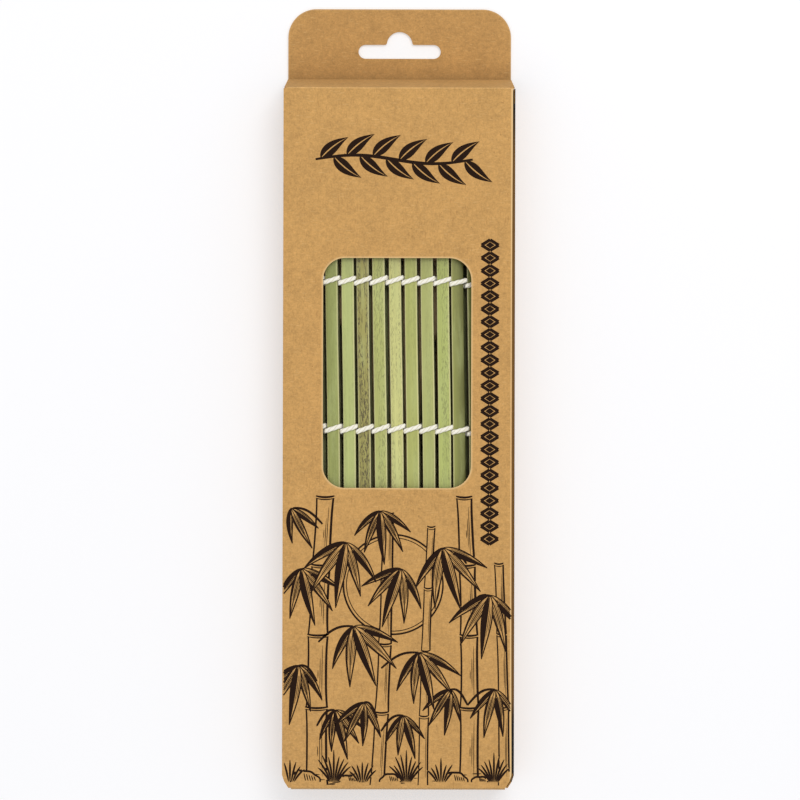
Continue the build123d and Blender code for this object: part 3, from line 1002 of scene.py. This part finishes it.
# a stone: half an uneven oval on the ground, with short straight hatching on its right side
def drawStone(sheet, middle, half, height):
    t = np.linspace(0, math.pi, 40)
    rough = 1 + 0.06 * np.sin(3 * t + middle) + 0.04 * np.sin(7 * t)
    rise = height * np.sin(t) ** 0.8 * rough
    outline = np.stack([middle + half * np.cos(t) * rough, ground["y"] + rise], 1)
    sheet.stroke(outline, 0.8, 0.7)
    for k in range(5):
        start = np.array([middle + half * (0.75 - 0.17 * k), ground["y"] + height * 0.1])
        sheet.stroke([start, start + (-0.12 * half, height * (0.42 + 0.07 * k))], 0.45, 0.4)
    below = panel["low"] - 5
    sheet.hide(np.concatenate([outline, [(middle - half, below), (middle + half, below)]]))


ground = {
    "y": -147.4,
    "tufts": [(-41.2, 7, 9.5), (-24.5, 9, 12.5), (-13.6, 7, 8.5), (3.2, 9, 11.5), (16.4, 7, 9.0),
              (36.6, 9, 11.0)],
    "stones": [(-35.6, 5.6, 4.2), (-18.6, 3.6, 2.6), (-3.0, 4.0, 3.0), (21.8, 4.8, 3.6), (31.2, 3.0, 2.2)],
    "marks": 26,
}
grove = {
    "strip": (30.4, -61, 38.9, 62),  # left bare for the lozenges: left, low, right and top
    "opening": (-31.0, -38.2, 29.6, 54.6),  # left bare round the window
    "corner": [(-45.5, -143.5), (-43.2, -143.5), (-42.4, -147.0), (-40.6, -149.8), (-45.5, -150.5)],
    # each spray's base, angle, leaves, fan and length, and the x that its twig grows from
    "sprays": [
        ((-20, -56), -1.75, 5, 1.9, 27, -29), ((-37, -66), -1.35, 5, 1.9, 24, -30),
        ((-17, -88), -1.2, 5, 1.9, 26, -30.5), ((-38, -103), -1.7, 5, 1.7, 23, -31),
        ((1, -66), -1.9, 5, 1.8, 24, -5), ((8, -98), -1.3, 5, 1.8, 24, -6.5),
        ((-13, -117), -1.8, 4, 1.5, 20, -8), ((17, -58), -1.3, 5, 1.9, 27, 26),
        ((35, -76), -1.7, 5, 1.9, 25, 25.5), ((37, -112), -1.6, 4, 1.5, 20, 26.5),
        ((-41, -43), -1.1, 3, 1.1, 18, -29), ((20, -112), -1.9, 4, 1.4, 19, 26.5),
        ((-24, -120), -1.3, 5, 1.7, 19, -31), ((2, -122), -1.5, 4, 1.5, 18, -6.5),
        ((-7, -44), -1.5, 5, 2.0, 20, -5),
    ],
    # each cane's foot, top, lean, width, joints and curve, and its own line width and shading
    "canes": [
        (-31, -38.6, 3.0, 8.6, 4, -1.2), (27, -38.6, -2.0, 7.6, 4, 1.0),
        (-8, -45, 4.0, 5.6, 4, 0.8, 0.6, 2), (40.5, -64, -2.2, 4.4, 3, 0.5, 0.55, 2),
        (9.5, -50, 3.0, 3.8, 4, -0.6, 0.5, 1),
    ],
    "moon": (-2, -72),
    "moonRings": ((19, 0.7), (17.8, 0.35)),
}


def rectangle(left, low, right, top):
    return np.array([(left, low), (right, low), (right, top), (left, top)])


# the grove fills the lower face: grass and stones in front, then leaf sprays on their twigs, canes behind
# them, and a round moon last
def drawGrove():
    rng = np.random.default_rng(12)
    corner = np.array(grove["corner"])
    keepOut = [rectangle(*grove["strip"]), rectangle(*grove["opening"]), corner, corner * (-1, 1) - (0.9, 0)]
    sheet = inkSheet((panel["left"] + 0.5, panel["low"] + 1.0), (panel["right"] - 0.5, panel["top"] - 2),
                     keepOut)
    for x, count, height in ground["tufts"]:
        drawTuft(sheet, (x, ground["y"]), count, height, rng)
    for middle, half, height in ground["stones"]:
        drawStone(sheet, middle, half, height)
    for k in range(ground["marks"]):
        x = rng.uniform(-42, 38)
        y = ground["y"] + rng.uniform(-0.9, 3.4)
        sheet.stroke([(x, y), (x + rng.uniform(2.5, 7.0), y)], 0.45, 0.3)
    for *spray, _ in grove["sprays"]:
        drawSpray(sheet, *spray, rng)
    for base, *_, caneX in grove["sprays"]:
        t = np.linspace(0, 1, 16)[:, None]
        start = np.array((caneX, base[1] - 6.0))
        sheet.stroke(start * (1 - t) + base * t + (0, 2.2) * np.sin(math.pi * t), 0.95, 0.7)
    for x, *look in grove["canes"]:
        drawCane(sheet, (x, panel["low"]), *look)
    turn = np.linspace(0, 2 * math.pi, 160)
    for radius, width in grove["moonRings"]:
        sheet.stroke(grove["moon"] + radius * np.stack([np.cos(turn), np.sin(turn)], 1), width, 0.9)
    return sheet.make("inkGrove")


twig = {"left": -32, "length": 60, "y": 90.2, "wave": 1.6, "leaves": 12, "turn": 0.78,
        "leafLength": 13.5, "leafWidth": 5.2, "leafBend": 0.45, "gap": 0.1, "line": 1.3}
lozenges = {"x": 34.7, "low": -57.0, "high": 60.0, "count": 24, "half": 3.3, "tall": 0.42, "line": 1.2,
            "dot": (1.7, 1.2)}


# closed when it is drawn as a line: the first corner comes again at the end
def lozenge(x, y, half, up):
    return np.array([(x + half, y), (x, y + up), (x - half, y), (x, y - up), (x + half, y)])


# the twig's stem is one wave of a sine
def twigPoint(share):
    return twig["left"] + twig["length"] * share, twig["y"] + twig["wave"] * np.sin(2 * math.pi * share)


# plain ornaments: a twig with leaves near the top, and a strip of lozenges at the right
def drawOrnaments():
    sheet = inkSheet((panel["left"] + 1, panel["low"] + 1), (panel["right"] - 1, panel["top"] - 2))
    for k in range(twig["leaves"]):
        side = 1 if k % 2 == 0 else -1
        mid, left, right = leafSides(twigPoint((k + 0.4) / twig["leaves"]), side * twig["turn"],
                                     twig["leafLength"], twig["leafWidth"], -side * twig["leafBend"])
        for edge, way in ((left, 1), (right, -1)):
            inner = mid + (edge - mid) * twig["gap"]
            sheet.blot(np.concatenate([edge, inner[-2:0:-1]])[::way])
    sheet.stroke(np.stack(twigPoint(np.linspace(0, 1, 40)), 1), twig["line"], 0.6)
    tall = (lozenges["high"] - lozenges["low"]) / lozenges["count"]
    for k in range(lozenges["count"]):
        y = lozenges["low"] + tall * (k + 0.5)
        ring = lozenge(lozenges["x"], y, lozenges["half"], tall * lozenges["tall"])
        for a, b in zip(ring[:-1], ring[1:]):
            sheet.stroke([a, b], lozenges["line"], 1.0)
        sheet.blot(lozenge(lozenges["x"], y, *lozenges["dot"])[:-1])
    return sheet.make("inkOrnaments")


# printed ink: dark brown, board fibres showing through where the noise is high
def printedInk():
    material, tree, shader = newMaterial("printedInk")
    worn = ramp(tree, noise(tree, toMillimetres(tree, objectPlace(tree)), 2.2, 3.0, 0.7), 0.55, 0.8)
    colour = lay(tree, paint(*ink["colour"]), worn, ink["wornAmount"], ink["worn"])
    finishSurface(tree, shader, colour, ramp(tree, worn, 0.0, 1.0, 0.75, 0.9), specular=0.12)
    return material


inkPaint = printedInk()
for piece in (drawGrove(), drawOrnaments()):
    dress(piece, inkPaint)
    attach(piece, "carton")
    print(piece.name, len(piece.data.polygons), "faces")


# floor, light and camera, in metres

stage = {
    "floorSize": 3.0,
    "floorHeight": -0.0002,
    "floorLit": ((0.84, 0.83, 0.83, 1.0), (0.88, 0.87, 0.87, 1.0)),  # for bounced light
    "floorSeen": ((0.985, 0.98, 0.985, 1.0), (1.0, 0.995, 1.0, 1.0)),  # for the camera
    "seenWhite": 0.36,
    "skyColour": (0.95, 0.96, 1.0, 1.0),
    "skyStrength": 0.66,
    "backdrop": (0.98, 0.98, 0.98, 1.0),
    "lamps": [("keyLamp", (0.32, 0.7, 1.3), 0.8, 8.0), ("fillLamp", (-0.45, -0.6, 1.4), 1.2, 3.0)],
    "camera": (0.00045, -0.0016, 1.0437),
    "roll": math.radians(0.135),
    "lens": 120.5,
    "sensor": 36,
}


# 1 for rays from the camera, in a mirror or through glass: these see the backdrop, and light doesn't
def seenDirectly(tree):
    path = addNode(tree, "LightPath").outputs
    return calc(tree, "MAXIMUM", path["Is Camera Ray"],
                calc(tree, "MAXIMUM", path["Is Glossy Ray"], path["Is Transmission Ray"]))


def makeFloor():
    half = stage["floorSize"] / 2
    corners = np.column_stack([rectangle(-half, -half, half, half), np.full(4, stage["floorHeight"])])
    floor = putMesh("floor", corners, [(0, 1, 2, 3)], smooth=False)
    material, tree, shader = newMaterial("paleFloor")
    shade = noise(tree, objectPlace(tree), 3.0)
    colour = mixColour(tree, shade, *stage["floorLit"])
    bright = mixColour(tree, shade, *stage["floorSeen"])
    glow = addNode(tree, "Emission")
    seen = seenDirectly(tree)
    tree.links.new(mixColour(tree, seen, colour, bright), shader["Base Color"])
    shader["Roughness"].default_value = 0.95
    shader["Specular IOR Level"].default_value = 0.1
    mix = addNode(tree, "MixShader", {0: times(tree, seen, stage["seenWhite"]),
                                      1: tree.nodes["Principled BSDF"].outputs[0], 2: glow.outputs[0]})
    tree.links.new(mix.outputs[0], tree.nodes["Material Output"].inputs["Surface"])
    dress(floor, material)


def makeSky():
    world = bpy.data.worlds.new("studio")
    bpy.context.scene.world = world
    world.use_nodes = True
    tree = world.node_tree
    tree.nodes.clear()
    soft = addNode(tree, "Background", {"Color": stage["skyColour"], "Strength": stage["skyStrength"]})
    backdrop = addNode(tree, "Background", {"Color": stage["backdrop"]})
    mix = addNode(tree, "MixShader", {0: seenDirectly(tree), 1: soft.outputs[0], 2: backdrop.outputs[0]})
    addNode(tree, "OutputWorld", {"Surface": mix.outputs[0]})


# a square lamp turned to the origin, the middle of the back panel
def makeLamp(name, place, size, power):
    lamp = bpy.data.lights.new(name, "AREA")
    lamp.shape = "SQUARE"
    lamp.size = size
    lamp.energy = power
    holder = putObject(name, lamp)
    way = -np.array(place)
    holder.location = place
    flat = math.hypot(way[0], way[1])
    holder.rotation_euler = (math.atan2(flat, -way[2]), 0, math.atan2(way[1], way[0]) - math.pi / 2)
    holder.visible_camera = False


def makeCamera():
    camera = bpy.data.cameras.new("camera")
    camera.lens = stage["lens"]
    camera.sensor_width = stage["sensor"]
    holder = putObject("camera", camera)
    holder.location = stage["camera"]
    holder.rotation_euler = (0, 0, stage["roll"])
    bpy.context.scene.camera = holder


makeFloor()
makeSky()
for lamp in stage["lamps"]:
    makeLamp(*lamp)
makeCamera()
bpy.context.scene.view_settings.view_transform = "Standard"
print("stage ready")
